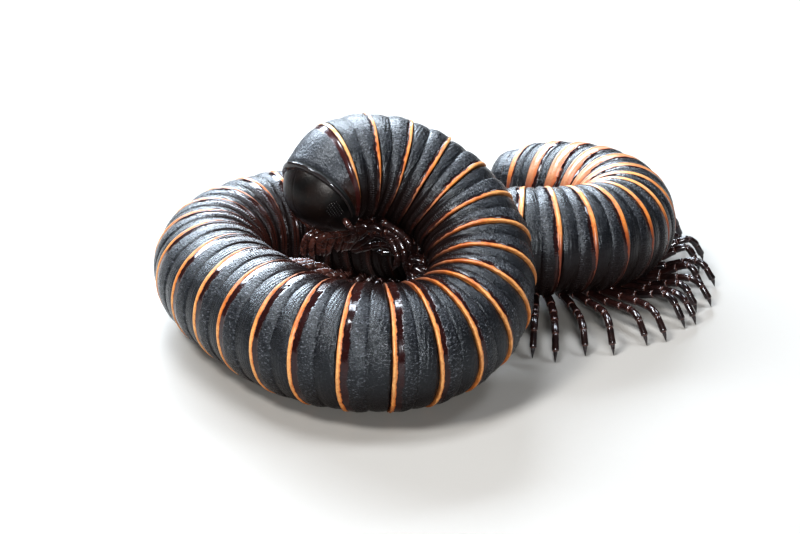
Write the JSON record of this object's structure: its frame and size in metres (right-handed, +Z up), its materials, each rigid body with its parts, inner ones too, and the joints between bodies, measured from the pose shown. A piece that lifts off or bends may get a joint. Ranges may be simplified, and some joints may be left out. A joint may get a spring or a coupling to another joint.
{
  "type": "odontostreptus sjoestedti giant millipede",
  "caption": "Still life-size giant millipede: front half coiled on its side with the head raised over the coil, hind half standing on its legs in a U-turn.",
  "frame": {"origin": "on the floor, under the middle of the whole animal's box", "axes": "+Z up; the coil and the raised head are on the -X side, the head facing -X and -Y and a little down; the U-turn is on the +X side and the tail tip lies towards +Y"},
  "size_m": [0.0446, 0.0414, 0.0174],
  "materials": {
    "ring_shell": "satin grey-black cuticle, glossy black-maroon towards the rear of each ring, thin raised orange rear edge",
    "collum_shell": "satin blue-grey cuticle with a fine grain, brown towards the lower corners",
    "head_shell": "glossy brown-black cuticle",
    "limb_shell": "glossy dark red-brown cuticle",
    "eye_bead": "patch of small glossy black beads"
  },
  "bodies": {
    "root": {"head": "head_shell", "collum": "collum_shell", "eye_left": "eye_bead", "eye_right": "eye_bead", "antenna_left": "limb_shell", "antenna_right": "limb_shell", "trunk_01": "ring_shell", "trunk_02": "ring_shell", "trunk_03": "ring_shell", "trunk_04": "ring_shell", "trunk_05": "ring_shell", "trunk_06": "ring_shell", "trunk_07": "ring_shell", "trunk_08": "ring_shell", "trunk_09": "ring_shell", "trunk_10": "ring_shell", "trunk_11": "ring_shell", "tail": "ring_shell"}
  },
  "joints": []
}
